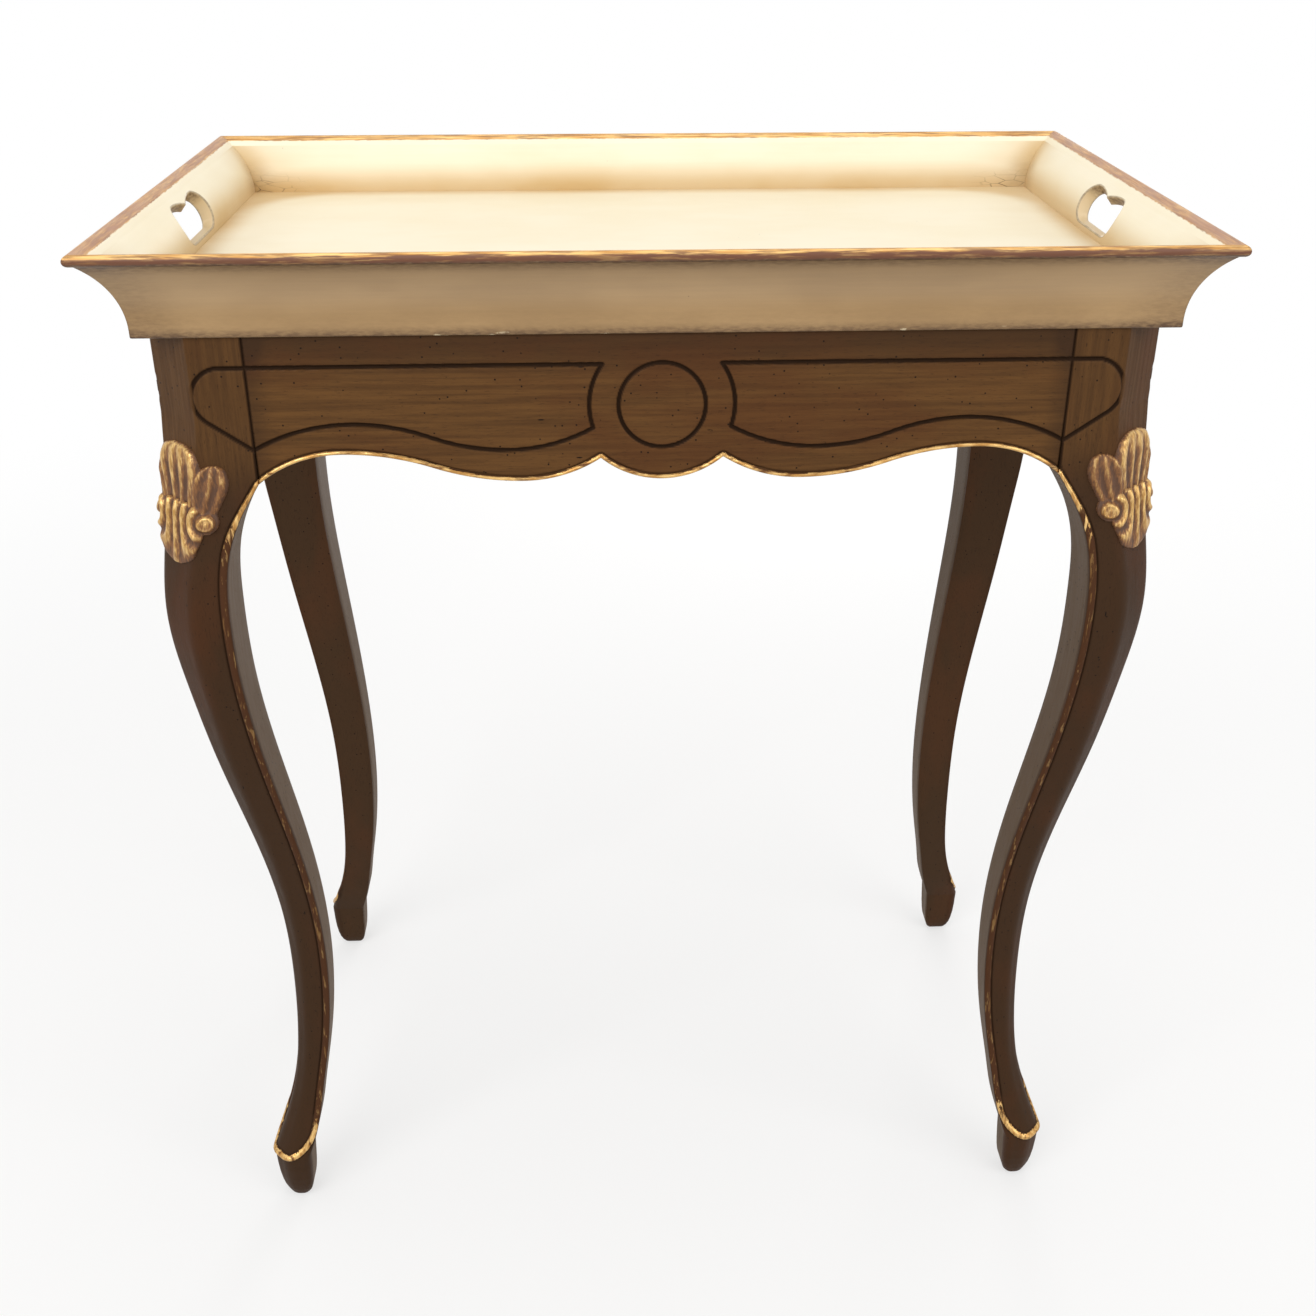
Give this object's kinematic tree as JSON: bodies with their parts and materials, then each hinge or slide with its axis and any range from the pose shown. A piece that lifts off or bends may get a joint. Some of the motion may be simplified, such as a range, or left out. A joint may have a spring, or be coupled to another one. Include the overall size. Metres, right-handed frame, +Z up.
{
  "type": "tray top tea table",
  "caption": "Occasional table with a cove-sided lift-off tray top with hand holes, scalloped aprons and slender cabriole legs with gilt knee shells.",
  "frame": {"origin": "middle of the footprint, on the floor", "axes": "+X to the right of the long front, +Y to the back, +Z up"},
  "size_m": [0.63, 0.388, 0.712],
  "materials": {
    "antiqued_cream_paint": "hand-painted cream with tan glaze, gilt rim, satin",
    "stained_walnut": "distressed walnut stain under satin lacquer, gilt beads",
    "worn_gilding": "rubbed gold leaf over red-brown ground",
    "raw_wood": "unfinished secondary wood",
    "screw_steel": "zinc plated"
  },
  "bodies": {
    "base": {"leg_front_left": "stained_walnut", "leg_front_right": "stained_walnut", "leg_back_left": "stained_walnut", "leg_back_right": "stained_walnut", "front_apron": "stained_walnut", "back_apron": "stained_walnut", "left_apron": "stained_walnut", "right_apron": "stained_walnut", "corner_block_front_left": "raw_wood", "corner_block_front_right": "raw_wood", "corner_block_back_left": "raw_wood", "corner_block_back_right": "raw_wood", "corner_block_screws": "screw_steel", "knee_shell_front_left": "worn_gilding", "knee_shell_front_right": "worn_gilding", "knee_shell_back_left": "worn_gilding", "knee_shell_back_right": "worn_gilding"},
    "tray": {"tray_front_wall": "antiqued_cream_paint", "tray_back_wall": "antiqued_cream_paint", "tray_left_wall": "antiqued_cream_paint", "tray_right_wall": "antiqued_cream_paint", "tray_floor": "antiqued_cream_paint", "tray_mitre_splines": "raw_wood", "tray_left_batten": "raw_wood", "tray_right_batten": "raw_wood", "tray_batten_screws": "screw_steel"}
  },
  "joints": [
    {"name": "tray_lift", "type": "slide", "parent": "base", "child": "tray", "axis": [0, 0, 1], "range_m": [0, 0.12]}
  ]
}
